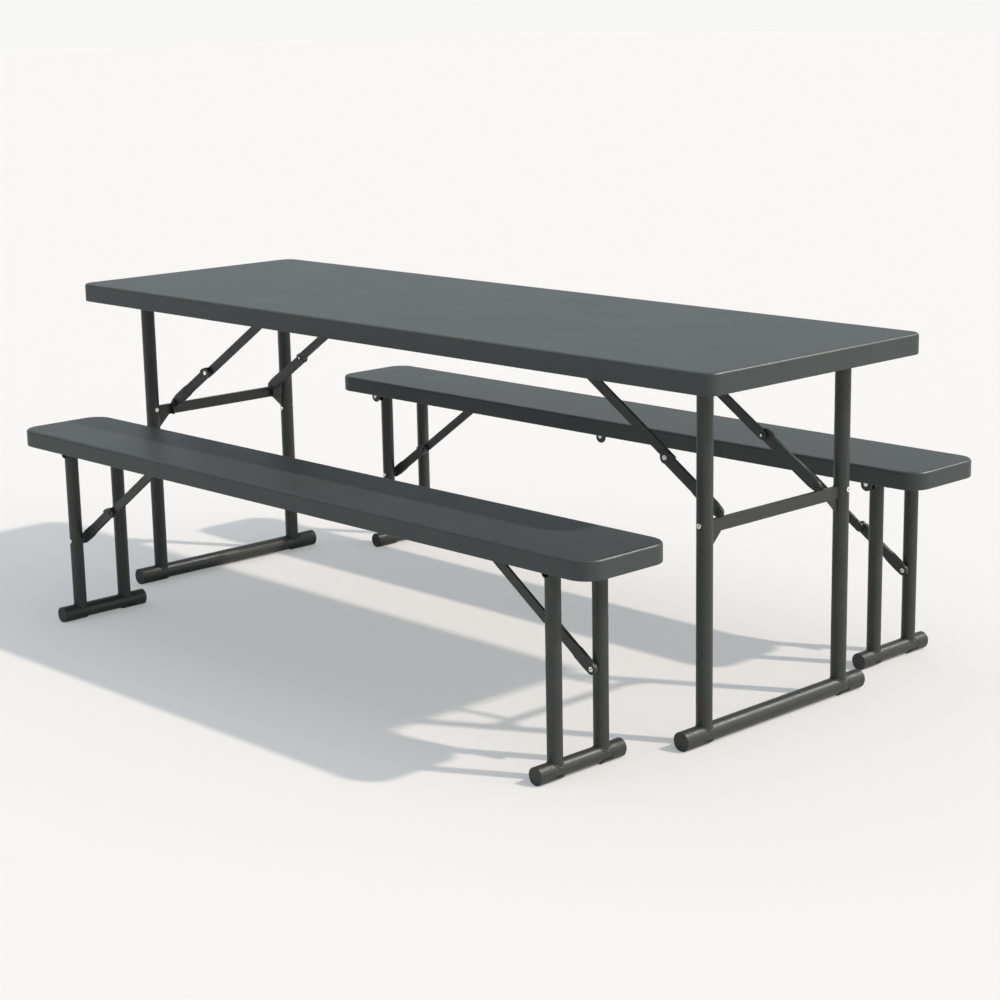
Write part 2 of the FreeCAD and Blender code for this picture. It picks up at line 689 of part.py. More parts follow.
def fixed_brackets(item, brace_both_sides):
    """Pivot brackets, brace brackets, rivets and screws of both ends."""
    if brace_both_sides:
        pivots = both_sides(pivot_bracket(item, TABLE_BRACKET_FROM_MIDDLE, TABLE_BRACKET_WIDTH,
                                          TABLE_BRACKET_LENGTH))
        screws = []
        for y in (-TABLE_BRACKET_FROM_MIDDLE, TABLE_BRACKET_FROM_MIDDLE):
            screws += plate_screws(item, y, TABLE_BRACKET_WIDTH, TABLE_BRACKET_LENGTH, SCREW_HEAD_DIAMETER)
        anchors = both_sides(anchor_bracket(item))
        rivets = both_sides(anchor_rivet(item))
        for one in anchor_screws(item):
            screws += both_sides(one)
    else:
        pivots = [pivot_bracket(item, 0, BENCH_BRACKET_WIDTH, BENCH_BRACKET_LENGTH)]
        screws = plate_screws(item, 0, BENCH_BRACKET_WIDTH, BENCH_BRACKET_LENGTH, SCREW_HEAD_DIAMETER)
        anchors = [anchor_bracket(item)]
        rivets = [anchor_rivet(item)]
        screws += anchor_screws(item)
    groups = []
    for group in (pivots, anchors, rivets, screws):
        groups.append(group + [other_end(shape) for shape in group])
    return groups


def write_table():
    item = table_sizes()
    pivots, anchors, rivets, screws = fixed_brackets(item, True)
    write("table_top", [cut_screws(moulded_top(item), screws)])
    write("table_side_rails", table_rails(item))
    write("table_cross_bars", table_cross_bars(item))
    write("table_pivot_brackets", [cut_screws(shape, screws) for shape in pivots])
    write("table_brace_brackets", [cut_screws(shape, screws) for shape in anchors])
    write("table_brace_rivets", rivets)
    write("table_screws", screws)
    for side in ("left", "right"):
        write_table_frame(item, side)


def write_table_frame(item, side):
    name = side + "_table_"
    rivets = table_leg_rivets(item, side)
    lug_rivets = both_sides(lug_rivet(item))
    plates = both_sides(corner_plate(item)) + both_sides(brace_lug(item))
    write(name + "legs", at_end(side, drill_legs(leg_tubes(item), rivets)))
    write(name + "pivot_tube", at_end(side, [pivot_tube(item)]))
    write(name + "foot_tube", at_end(side, [foot_tube(item)]))
    write(name + "foot_caps", at_end(side, both_sides(foot_cap(item))))
    write(name + "crossbar", at_end(side, [crossbar(item)]))
    write(name + "crossbar_plates", at_end(side, plates))
    write(name + "rivets", at_end(side, rivets + lug_rivets))
    write(name + "lower_braces", at_end(side, both_sides(lower_link(item))))
    write(name + "upper_braces", at_end(side, both_sides(upper_link(item))))
    write(name + "knee_rivets", at_end(side, both_sides(knee_rivet(item))))


def bench_rails(item, table_side):
    """Thin side rails, and three riveted lugs that hang from the one that faces the table."""
    half = item.length / 2 - item.corner_radius
    face = item.width / 2 - SKIRT_WALL - BENCH_RAIL_FROM_EDGE
    low = item.height - item.edge_depth
    rail = box(-half, half, face - BENCH_RAIL_WIDTH, face, low + BENCH_RAIL_FROM_EDGE, item.underside)
    rails = both_sides(rail)
    lugged = rails[0] if table_side > 0 else rails[1]
    plain = rails[1] if table_side > 0 else rails[0]
    start = table_side * (face - BENCH_RAIL_WIDTH / 2) - BRACKET_EAR / 2
    lobes = []
    for x in (-item.leg_x, -table_side * BENCH_MIDDLE_LUG_OFF_CENTRE, item.leg_x):
        lobes.append(rod((x, item.height - BENCH_LUG_DROP), start, start + BRACKET_EAR, BENCH_LUG_RADIUS))
    return [join([lugged] + lobes), plain]


def bench_lug_rivets(item, table_side):
    """Rivet heads on the lugs, one on each face."""
    face = item.width / 2 - SKIRT_WALL - BENCH_RAIL_FROM_EDGE
    middle = table_side * (face - BENCH_RAIL_WIDTH / 2)
    low = item.height - item.edge_depth
    radius = LEG_RIVET_HEAD_DIAMETER / 2
    height = low - radius + BENCH_RAIL_FROM_EDGE
    reach = BRACKET_EAR / 2
    heads = []
    for x in (-item.leg_x, -table_side * BENCH_MIDDLE_LUG_OFF_CENTRE, item.leg_x):
        heads.append(rod((x, height), middle - reach - RIVET_HEAD_THICKNESS, middle - reach, radius))
        heads.append(rod((x, height), middle + reach, middle + reach + RIVET_HEAD_THICKNESS, radius))
    return heads


def write_bench(bench, table_side):
    item = bench_sizes()
    shift = FreeCAD.Vector(BENCH_SHIFT, -table_side * BENCH_OUT_FROM_MIDDLE, 0)
    name = bench + "_bench_"
    pivots, anchors, rivets, screws = fixed_brackets(item, False)
    brackets = [cut_screws(shape, screws) for shape in pivots + anchors]
    write(name + "seat", moved([cut_screws(moulded_top(item), screws)], shift))
    write(name + "side_rails", moved(bench_rails(item, table_side), shift))
    write(name + "brackets", moved(brackets, shift))
    write(name + "fixings", moved(rivets + screws + bench_lug_rivets(item, table_side), shift))
    for side in ("left", "right"):
        write_bench_frame(item, name + side + "_", side, shift)


def write_bench_frame(item, name, side, shift):
    rivets = [leg_side_rivet(item)]
    tubes = drill_legs(leg_tubes(item), rivets) + [pivot_tube(item)]
    write(name + "legs", moved(at_end(side, tubes), shift))
    write(name + "foot_tube", moved(at_end(side, [foot_tube(item)]), shift))
    write(name + "foot_caps", moved(at_end(side, both_sides(foot_cap(item))), shift))
    write(name + "brace_rivet", moved(at_end(side, rivets), shift))
    write(name + "lower_brace", moved(at_end(side, [lower_link(item), knee_rivet(item)]), shift))
    write(name + "upper_brace", moved(at_end(side, [upper_link(item)]), shift))


write_table()
write_bench("near", 1)
write_bench("far", -1)
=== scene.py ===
import json
import math
from collections import namedtuple

import bmesh
import bpy
from mathutils import Matrix, Vector, geometry

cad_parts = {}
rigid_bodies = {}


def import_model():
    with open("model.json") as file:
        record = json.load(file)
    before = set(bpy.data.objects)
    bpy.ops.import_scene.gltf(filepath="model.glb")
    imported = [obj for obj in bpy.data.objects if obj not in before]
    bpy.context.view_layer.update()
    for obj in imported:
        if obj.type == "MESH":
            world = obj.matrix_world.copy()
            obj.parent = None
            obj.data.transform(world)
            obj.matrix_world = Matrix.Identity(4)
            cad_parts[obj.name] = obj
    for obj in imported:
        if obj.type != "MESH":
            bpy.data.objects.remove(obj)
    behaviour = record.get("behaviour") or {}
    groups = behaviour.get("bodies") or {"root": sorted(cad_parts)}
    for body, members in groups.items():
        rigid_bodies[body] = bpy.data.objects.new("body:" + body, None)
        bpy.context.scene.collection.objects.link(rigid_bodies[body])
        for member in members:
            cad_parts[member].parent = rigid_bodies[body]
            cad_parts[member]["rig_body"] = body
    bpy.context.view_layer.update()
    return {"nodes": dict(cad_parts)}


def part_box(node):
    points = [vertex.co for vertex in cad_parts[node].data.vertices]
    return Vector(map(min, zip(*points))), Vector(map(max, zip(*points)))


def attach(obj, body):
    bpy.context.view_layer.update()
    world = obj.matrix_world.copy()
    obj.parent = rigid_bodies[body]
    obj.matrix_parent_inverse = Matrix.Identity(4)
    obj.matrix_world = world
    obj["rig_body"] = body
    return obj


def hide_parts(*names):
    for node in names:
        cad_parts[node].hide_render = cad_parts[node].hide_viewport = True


# The looks of a folding table with two folding benches, in metres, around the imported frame.

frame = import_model()

ALONG = Vector((1, 0, 0))
ACROSS = Vector((0, 1, 0))
UP = Vector((0, 0, 1))
FULL_TURN = 2 * math.pi
QUARTER_TURN = math.pi / 2
SIDES = ("left", "right")
BENCHES = ("near", "far")

# Camera

IMAGE_SIDE = 1000
FOCAL_PIXELS = 2180.24
SENSOR_WIDTH = 36.0
CAMERA_PLACE = (3.49104, -3.19850, 1.39598)
CAMERA_YAW = 0.81186
CAMERA_PITCH = 0.22716
CAMERA_ROLL = -0.01858
CLIP_END = 200.0


def make_camera():
    yaw_cos, yaw_sin = math.cos(CAMERA_YAW), math.sin(CAMERA_YAW)
    pitch_cos, pitch_sin = math.cos(CAMERA_PITCH), math.sin(CAMERA_PITCH)
    forward = Vector((-yaw_sin * pitch_cos, yaw_cos * pitch_cos, -pitch_sin))
    level_right = Vector((yaw_cos, yaw_sin, 0))
    level_up = level_right.cross(forward)
    right = level_right * math.cos(CAMERA_ROLL) + level_up * math.sin(CAMERA_ROLL)
    up = level_up * math.cos(CAMERA_ROLL) - level_right * math.sin(CAMERA_ROLL)
    data = bpy.data.cameras.new("camera")
    data.sensor_width = SENSOR_WIDTH
    data.lens = FOCAL_PIXELS / IMAGE_SIDE * SENSOR_WIDTH
    data.clip_end = CLIP_END
    camera = bpy.data.objects.new("camera", data)
    bpy.context.scene.collection.objects.link(camera)
    turn = Matrix((right, up, -forward)).transposed().to_4x4()
    camera.matrix_world = Matrix.Translation(CAMERA_PLACE) @ turn
    bpy.context.scene.camera = camera


# Light. The slopes point from the set towards each lamp.

SUN_SLOPE = (0.86, 0.50, 1.0)
SUN_STRENGTH = 2.12
SUN_COLOUR = (1.0, 0.90, 0.80)
SUN_ANGLE = math.radians(2.2)
FILL_SLOPE = (0.9, 0.35, 0.08)
FILL_STRENGTH = 0.95
FILL_COLOUR = (1.0, 0.96, 0.90)
FILL_ANGLE = math.radians(60)
SHEEN_SLOPE = (0.29, 0.65, 0.70)
SHEEN_STRENGTH = 2.0
SHEEN_ANGLE = math.radians(9)
SKY_TOP_COLOUR = (0.39, 0.43, 0.46)
SKY_LOW_COLOUR = (0.74, 0.80, 0.84)
BACKDROP_COLOUR = (0.93, 0.93, 0.915)


def make_sun(name, slope, strength, colour, angle):
    data = bpy.data.lights.new(name, "SUN")
    data.energy = strength
    data.color = colour
    data.angle = angle
    sun = bpy.data.objects.new(name, data)
    bpy.context.scene.collection.objects.link(sun)
    sun.rotation_mode = "QUATERNION"
    sun.rotation_quaternion = Vector(slope).to_track_quat("Z", "Y")
    return sun


def make_lights():
    """The sun, a wide fill beside it, and a sheen that is seen only in glossy reflections."""
    make_sun("sun", SUN_SLOPE, SUN_STRENGTH, SUN_COLOUR, SUN_ANGLE)
    make_sun("fill", FILL_SLOPE, FILL_STRENGTH, FILL_COLOUR, FILL_ANGLE)
    sheen = make_sun("sheen", SHEEN_SLOPE, SHEEN_STRENGTH, FILL_COLOUR, SHEEN_ANGLE)
    sheen.visible_diffuse = False


def sky_colour(tree):
    """Daylight that is brighter towards the horizon."""
    place = tree.nodes.new("ShaderNodeTexCoord")
    parts = tree.nodes.new("ShaderNodeSeparateXYZ")
    tree.links.new(place.outputs["Generated"], parts.inputs[0])
    mix = tree.nodes.new("ShaderNodeMix")
    mix.data_type = "RGBA"
    mix.inputs["A"].default_value = (*SKY_LOW_COLOUR, 1)
    mix.inputs["B"].default_value = (*SKY_TOP_COLOUR, 1)
    tree.links.new(parts.outputs["Z"], mix.inputs["Factor"])
    return mix.outputs["Result"]


def make_world():
    """Soft daylight. Seen directly, the world is the pale backdrop."""
    world = bpy.data.worlds.new("world")
    bpy.context.scene.world = world
    world.use_nodes = True
    tree = world.node_tree
    tree.nodes.clear()
    path = tree.nodes.new("ShaderNodeLightPath")
    sky = tree.nodes.new("ShaderNodeBackground")
    tree.links.new(sky_colour(tree), sky.inputs["Color"])
    backdrop = tree.nodes.new("ShaderNodeBackground")
    backdrop.inputs["Color"].default_value = (*BACKDROP_COLOUR, 1)
    mix = tree.nodes.new("ShaderNodeMixShader")
    output = tree.nodes.new("ShaderNodeOutputWorld")
    tree.links.new(path.outputs["Is Camera Ray"], mix.inputs[0])
    tree.links.new(sky.outputs[0], mix.inputs[1])
    tree.links.new(backdrop.outputs[0], mix.inputs[2])
    tree.links.new(mix.outputs[0], output.inputs["Surface"])


# Floor

FLOOR_SIDE = 120.0
FLOOR_COLOUR = (0.918, 0.911, 0.906)
FLOOR_ROUGHNESS = 0.9
FLOOR_GLOW_SHARE = 0.25


def make_floor():
    half = FLOOR_SIDE / 2
    mesh = bpy.data.meshes.new("floor")
    mesh.from_pydata([(-half, -half, 0), (half, -half, 0), (half, half, 0), (-half, half, 0)], [],
                     [(0, 1, 2, 3)])
    floor = bpy.data.objects.new("floor", mesh)
    bpy.context.scene.collection.objects.link(floor)
    material = bpy.data.materials.new("floor")
    material.use_nodes = True
    tree = material.node_tree
    shader = tree.nodes["Principled BSDF"]
    shader.inputs["Base Color"].default_value = (*FLOOR_COLOUR, 1)
    shader.inputs["Roughness"].default_value = FLOOR_ROUGHNESS
    shader.inputs["Specular IOR Level"].default_value = 0
    soften_shadows(tree, shader)
    mesh.materials.append(material)


def soften_shadows(tree, shader):
    """Seen by the camera, the floor is partly the backdrop's own colour, so its shadows stay pale."""
    path = tree.nodes.new("ShaderNodeLightPath")
    share = tree.nodes.new("ShaderNodeMath")
    share.operation = "MULTIPLY"
    share.inputs[1].default_value = FLOOR_GLOW_SHARE
    glow = tree.nodes.new("ShaderNodeEmission")
    glow.inputs["Color"].default_value = (*BACKDROP_COLOUR, 1)
    mix = tree.nodes.new("ShaderNodeMixShader")
    tree.links.new(path.outputs["Is Camera Ray"], share.inputs[0])
    tree.links.new(share.outputs[0], mix.inputs[0])
    tree.links.new(shader.outputs[0], mix.inputs[1])
    tree.links.new(glow.outputs[0], mix.inputs[2])
    tree.links.new(mix.outputs[0], tree.nodes["Material Output"].inputs["Surface"])


# Materials

NOISE_LOW = 0.3
NOISE_HIGH = 0.7


class Nodes:
    """A material's node tree, with short calls for the nodes used here."""

    def __init__(self, name, roughness, metal, gloss):
        self.material = bpy.data.materials.new(name)
        self.material.use_nodes = True
        self.tree = self.material.node_tree
        self.shader = self.tree.nodes["Principled BSDF"]
        self.shader.inputs["Roughness"].default_value = roughness
        self.shader.inputs["Metallic"].default_value = metal
        self.shader.inputs["Specular IOR Level"].default_value = gloss
        self.place = self.tree.nodes.new("ShaderNodeTexCoord").outputs["Object"]

    def noise(self, scale, detail):
        """Cloudy noise, mostly between NOISE_LOW and NOISE_HIGH."""
        node = self.tree.nodes.new("ShaderNodeTexNoise")
        node.inputs["Scale"].default_value = scale
        node.inputs["Detail"].default_value = detail
        self.tree.links.new(self.place, node.inputs["Vector"])
        return node.outputs["Fac"]

    def cells(self, scale):
        """Soft round pebbles."""
        node = self.tree.nodes.new("ShaderNodeTexVoronoi")
        node.feature = "SMOOTH_F1"
        node.inputs["Scale"].default_value = scale
        self.tree.links.new(self.place, node.inputs["Vector"])
        return node.outputs["Distance"]

    def spread(self, noise, low, high):
        """Noise whose usual span is stretched from a low to a high value."""
        node = self.tree.nodes.new("ShaderNodeMapRange")
        for name, number in (("From Min", NOISE_LOW), ("From Max", NOISE_HIGH),
                             ("To Min", low), ("To Max", high)):
            node.inputs[name].default_value = number
        self.tree.links.new(noise, node.inputs["Value"])
        return node.outputs["Result"]

    def blend(self, share, dark, light):
        """A colour between two, by a share from 0 to 1."""
        node = self.tree.nodes.new("ShaderNodeMix")
        node.data_type = "RGBA"
        node.inputs["A"].default_value = (*dark, 1)
        node.inputs["B"].default_value = (*light, 1)
        self.tree.links.new(share, node.inputs["Factor"])
        return node.outputs["Result"]

    def bump(self, height, strength, distance, before):
        """A bumpy normal, laid over the one before where there is one."""
        node = self.tree.nodes.new("ShaderNodeBump")
        node.inputs["Strength"].default_value = strength
        node.inputs["Distance"].default_value = distance
        self.tree.links.new(height, node.inputs["Height"])
        if before is not None:
            self.tree.links.new(before, node.inputs["Normal"])
        return node.outputs["Normal"]

    def finish(self, colour, roughness, normal):
        for name, value in (("Base Color", colour), ("Roughness", roughness), ("Normal", normal)):
            self.tree.links.new(value, self.shader.inputs[name])
        return self.material


# A finish: mottle and scuff are the scale and detail of the noise that blends the two colours and the two
# roughnesses. Each bump has its pattern, the pattern's numbers, its strength and its height.
Finish = namedtuple("Finish", "roughness metal mottle dark light scuff smooth rough bumps")

# Satin moulded plastic: fine pebble grain over a faint swell, with faint mottling
PLASTIC = Finish(
    roughness=0.40, metal=0.0, mottle=(7.0, 4.0), dark=(0.051, 0.059, 0.058), light=(0.056, 0.065, 0.063),
    scuff=(9.0, 5.0), smooth=0.385, rough=0.405,
    bumps=((Nodes.noise, (4.0, 1.0), 0.15, 0.002), (Nodes.cells, (520.0,), 0.22, 0.0003)))

# Powder coat: fine orange peel over smooth tube
POWDER_COAT = Finish(
    roughness=0.40, metal=0.0, mottle=(22.0, 4.0), dark=(0.027, 0.030, 0.027), light=(0.032, 0.035, 0.032),
    scuff=(40.0, 3.0), smooth=0.36, rough=0.46,
    bumps=((Nodes.noise, (700.0, 2.0), 0.25, 0.0002),))

# Moulded foot caps, duller than the tube
FOOT_PLASTIC = Finish(
    roughness=0.45, metal=0.0, mottle=(30.0, 3.0), dark=(0.025, 0.028, 0.025), light=(0.030, 0.033, 0.030),
    scuff=(60.0, 3.0), smooth=0.40, rough=0.52,
    bumps=((Nodes.cells, (900.0,), 0.2, 0.0002),))

# Bright zinc plate with a faint crystal pattern
ZINC_PLATE = Finish(
    roughness=0.30, metal=1.0, mottle=(300.0, 3.0), dark=(0.86, 0.86, 0.84), light=(0.96, 0.96, 0.94),
    scuff=(500.0, 2.0), smooth=0.24, rough=0.38,
    bumps=((Nodes.noise, (900.0, 2.0), 0.15, 0.0001),))

TOP_GLOSS = 0.16
POLISHED_GLOSS = 0.55
STEEL_GLOSS = 0.4
ZINC_GLOSS = 0.5


def make_material(name, finish, gloss):
    nodes = Nodes(name, finish.roughness, finish.metal, gloss)
    mottle = nodes.spread(nodes.noise(*finish.mottle), 0, 1)
    colour = nodes.blend(mottle, finish.dark, finish.light)
    roughness = nodes.spread(nodes.noise(*finish.scuff), finish.smooth, finish.rough)
    normal = None
    for pattern, numbers, strength, distance in finish.bumps:
        normal = nodes.bump(pattern(nodes, *numbers), strength, distance, normal)
    return nodes.finish(colour, roughness, normal)


MATERIALS = {"moulded_top": make_material("moulded_plastic", PLASTIC, TOP_GLOSS),
             "painted_steel": make_material("powder_coat", POWDER_COAT, STEEL_GLOSS),
             "foot_cap": make_material("foot_plastic", FOOT_PLASTIC, STEEL_GLOSS),
             "zinc": make_material("zinc_plate", ZINC_PLATE, ZINC_GLOSS)}
POLISHED_EDGE = make_material("polished_edge", PLASTIC, POLISHED_GLOSS)


# Nodes, slots and meshes: small tools

SMOOTH_ANGLE = math.radians(40)
ROUND_SMOOTH_ANGLE = math.radians(60)
WELD_DISTANCE = 1e-6

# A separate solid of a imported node, with the lowest and the highest corner of its box
Solid = namedtuple("Solid", "low high points faces")


def slot_of(node):
    """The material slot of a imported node."""
    if node == "table_top" or node.endswith("_seat"):
        return "moulded_top"
    if node.endswith("foot_caps"):
        return "foot_cap"
    if "rivet" in node or "screws" in node or "fixings" in node:
        return "zinc"
    return "painted_steel"


def body_of(node):
    return frame["nodes"][node]["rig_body"]


def place_piece(name, mesh, slot, body, stands_for=()):
    """Makes an object of a finished mesh, which then rides on a body."""
    piece = bpy.data.objects.new(name, mesh)
    bpy.context.scene.collection.objects.link(piece)
    mesh.materials.clear()
    mesh.materials.append(MATERIALS[slot])
    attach(piece, body)
    if stands_for:
        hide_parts(*stands_for)
    return piece


def place_parts(name, parts, slot, body, stands_for=()):
    """Makes one piece of several parts, each given by its points and faces."""
    points = []
    faces = []
    for some_points, some_faces in parts:
        first = len(points)
        points.extend(some_points)
        faces.extend(tuple(first + corner for corner in face) for face in some_faces)
    mesh = mesh_from(name, points, faces)
    shade_smooth(mesh, ROUND_SMOOTH_ANGLE)
    place_piece(name, mesh, slot, body, stands_for)


def mesh_from(name, points, faces):
    mesh = bpy.data.meshes.new(name)
    mesh.from_pydata(points, [], faces)
    mesh.validate()
    return mesh


def shade_smooth(mesh, angle):
    """Shades a mesh smooth, apart from the edges that turn by more than an angle."""
    mesh.shade_smooth()
    mesh.set_sharp_from_angle(angle=angle)


def packed_mesh(node):
    """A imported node's mesh to work on, with its faces sharing their corners."""
    work = bmesh.new()
    work.from_mesh(frame["nodes"][node].data)
    bmesh.ops.remove_doubles(work, verts=work.verts, dist=WELD_DISTANCE)
    return work


def joined_vertices(start):
    """A vertex and all the others that edges lead to from it."""
    members = [start]
    seen = {start}
    for vertex in members:
        for edge in vertex.link_edges:
            other = edge.other_vert(vertex)
            if other not in seen:
                seen.add(other)
                members.append(other)
    return members


def solids_of(node):
    """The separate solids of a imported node."""
    work = packed_mesh(node)
    seen = set()
    solids = []
    for start in work.verts:
        if start in seen:
            continue
        members = joined_vertices(start)
        seen.update(members)
        order = {vertex: index for index, vertex in enumerate(members)}
        points = [vertex.co.copy() for vertex in members]
        faces = [tuple(order[corner] for corner in face.verts) for face in work.faces
                 if face.verts[0] in order]
        low = Vector(map(min, zip(*points)))
        high = Vector(map(max, zip(*points)))
        solids.append(Solid(low, high, points, faces))
    work.free()
    return solids


def circle(centre, side, other, radius, count):
    """Points evenly round a centre, from one direction towards another at right angles to it."""
    points = []
    for step in range(count):
        angle = step / count * FULL_TURN
        points.append(centre + (side * math.cos(angle) + other * math.sin(angle)) * radius)
    return points


def ring_faces(first, second, count):
    """The faces between two rings of points, given the number of each ring's first point."""
    faces = []
    for step in range(count):
        after = (step + 1) % count
        faces.append((first + step, second + step, second + after, first + after))
    return faces


# Sheet, bars and foot caps, with their edges broken as real ones are

EDGED_PIECES = ("brace", "crossbar", "bracket", "rails", "cross_bars", "foot_caps")
EDGE_BREAK = 0.0005
LINK_EDGE_BREAK = 0.0007
CAP_EDGE_BREAK = 0.0005
BAR_EDGE_BREAK = 0.0014
EDGE_SEGMENTS = 2
EDGE_ROUNDNESS = 0.5
EDGE_LEAST_ANGLE = math.radians(35)
FLAT_ANGLE = math.radians(1)
NORMAL_WEIGHT = 100

# A cap lies flush on its tube, a skin above it, down to where it faces down by the low share, and is
# fully proud of it from the high share on.
CAP_SKIN = 0.0005
CAP_TURN_LOW = 0.35
CAP_TURN_HIGH = 0.75


def edge_width(node):
    """How far the edges of a piece are rounded: most on a rectangular bar, least on a flat plate."""
    if slot_of(node) == "foot_cap":
        return CAP_EDGE_BREAK
    if node.endswith("crossbar"):
        return BAR_EDGE_BREAK
    if node.endswith(("braces", "brace")):
        return LINK_EDGE_BREAK
    return EDGE_BREAK


def break_edges(node):
    """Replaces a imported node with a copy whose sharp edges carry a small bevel."""
    work = packed_mesh(node)
    bmesh.ops.dissolve_limit(work, angle_limit=FLAT_ANGLE, verts=work.verts, edges=work.edges)
    if slot_of(node) == "foot_cap":
        draw_in_caps(work, node)
    sharp = [edge for edge in work.edges
             if len(edge.link_faces) == 2 and edge.calc_face_angle() > EDGE_LEAST_ANGLE]
    bmesh.ops.bevel(work, geom=sharp, offset=edge_width(node), segments=EDGE_SEGMENTS,
                    profile=EDGE_ROUNDNESS, affect="EDGES", clamp_overlap=True)
    mesh = bpy.data.meshes.new(node + "_finish")
    work.to_mesh(mesh)
    work.free()
    if "custom_normal" in mesh.attributes:
        mesh.attributes.remove(mesh.attributes["custom_normal"])
    shade_smooth(mesh, SMOOTH_ANGLE)
    piece = place_piece(node + "_finish", mesh, slot_of(node), body_of(node), (node,))
    weighted = piece.modifiers.new("even_faces", "WEIGHTED_NORMAL")
    weighted.weight = NORMAL_WEIGHT
    weighted.keep_sharp = True


def draw_in_caps(work, node):
    """Makes the foot caps flush with their tube above, so that they stand proud of it only below."""
    low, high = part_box(node.replace("foot_caps", "foot_tube"))
    middle = (low + high) / 2
    flush = (high.z - low.z) / 2 + CAP_SKIN
    for vertex in work.verts:
        across = vertex.co.x - middle.x
        up = vertex.co.z - middle.z
        reach = math.hypot(across, up)
        if reach > flush:
            below = (-up / reach - CAP_TURN_LOW) / (CAP_TURN_HIGH - CAP_TURN_LOW)
            share = (flush + (reach - flush) * min(max(below, 0), 1)) / reach
            vertex.co.x = middle.x + across * share
            vertex.co.z = middle.z + up * share


# Moulded tops, with rounded rims and a field of shallow dimples below

PANEL_THICKNESS = 0.014
SKIRT_WALL = 0.011
TOP_EDGE_ROUND = 0.006
BOTTOM_EDGE_ROUND = 0.0025
INNER_EDGE_ROUND = 0.001
UNDERSIDE_ROUND = 0.003
RIM_LAND = 0.0008
POLISHED_TILT_LOW = 0.6
POLISHED_TILT_HIGH = 0.95
CORNER_STEPS = 16
ROUND_STEPS = 5
MERGE_DISTANCE = 1e-5
TRIANGLES_INSIDE = 1
FILL_TOLERANCE = 1e-7
DIMPLE_POINTS = 16
DIMPLE_DEPTH = 0.0045

# Shares of a dimple's radius and of its depth, from its rim to its floor
DIMPLE_RINGS = ((1.0, 0.0), (0.88, 0.10), (0.62, 0.72), (0.40, 1.0))

# How far apart the rows of dimples lie, as a share of the spacing along a row
ROW_SHARE = math.sin(math.radians(60))

# A top: dimples fill a field around its middle, apart from places kept clear for rails, bars and brackets.
# Each such place is a span of distances from the middle along the top and a span of them across it.
Top = namedtuple("Top", "corner_radius spacing dimple_radius field kept_clear")

TABLE_TOP = Top(
    corner_radius=0.030, spacing=0.057, dimple_radius=0.013, field=(0.965, 0.268),
    kept_clear=((0.101, 0.119, 0, 1), (0.859, 0.919, 0.083, 0.117), (0.437, 0.481, 0.114, 0.137)))
BENCH_TOP = Top(
    corner_radius=0.045, spacing=0.046, dimple_radius=0.010, field=(0.885, 0.088),
    kept_clear=((0.754, 0.806, 0, 0.025), (0.448, 0.492, 0, 0.027)))


def plan_ring(half_x, half_y, radius, inset, z, centre):
    """One level outline with rounded corners, the same count of points whatever its inset."""
    bend = max(radius - inset, RIM_LAND)
    across_x = half_x - inset - bend
    across_y = half_y - inset - bend
    points = []
    for quarter, (sign_x, sign_y) in enumerate(((1, 1), (-1, 1), (-1, -1), (1, -1))):
        middle = Vector((centre.x + sign_x * across_x, centre.y + sign_y * across_y, z))
        for step in range(CORNER_STEPS + 1):
            angle = (quarter + step / CORNER_STEPS) * QUARTER_TURN
            points.append(middle + Vector((math.cos(angle) * bend, math.sin(angle) * bend, 0)))
    return points


def quarter_round():
    """What is left of a radius beside and above each step of a quarter turn."""
    for step in range(ROUND_STEPS + 1):
        angle = step / ROUND_STEPS * QUARTER_TURN
        yield 1 - math.cos(angle), 1 - math.sin(angle)


def top_profile(height, depth):
    """Insets and heights from the middle of the top round the rim to the underside."""
    bottom = height - depth
    underside = height - PANEL_THICKNESS
    profile = [(TOP_EDGE_ROUND + RIM_LAND, height)]
    for beside, above in quarter_round():
        profile.append((TOP_EDGE_ROUND * above, height - TOP_EDGE_ROUND * beside))
    profile.append((0, height - TOP_EDGE_ROUND - RIM_LAND))
    profile.append((0, bottom + BOTTOM_EDGE_ROUND + RIM_LAND))
    for beside, above in quarter_round():
        profile.append((BOTTOM_EDGE_ROUND * beside, bottom + BOTTOM_EDGE_ROUND * above))
    profile.append((SKIRT_WALL - INNER_EDGE_ROUND, bottom))
    profile.append((SKIRT_WALL, bottom + INNER_EDGE_ROUND))
    for beside, above in quarter_round():
        profile.append((SKIRT_WALL + UNDERSIDE_ROUND * beside, underside - UNDERSIDE_ROUND * above))
    return profile


def dimple_places(top):
    """A staggered lattice of dimples that leaves the seats of the steel pieces flat."""
    half_x, half_y = top.field
    radius = top.dimple_radius
    places = []
    rows = int(half_y / top.spacing / ROW_SHARE) * 2 + 1
    columns = int(half_x / top.spacing) * 2 + 1
    for row in range(rows):
        y = (row - (rows - 1) / 2) * top.spacing * ROW_SHARE
        stagger = top.spacing / 2 if row % 2 else 0
        for column in range(columns):
            x = (column - (columns - 1) / 2) * top.spacing + stagger
            if abs(x) + radius > half_x or abs(y) + radius > half_y:
                continue
            if any(x0 - radius < abs(x) < x1 + radius and y0 - radius < abs(y) < y1 + radius
                   for x0, x1, y0, y1 in top.kept_clear):
                continue
            places.append(Vector((x, y, 0)))
    return places


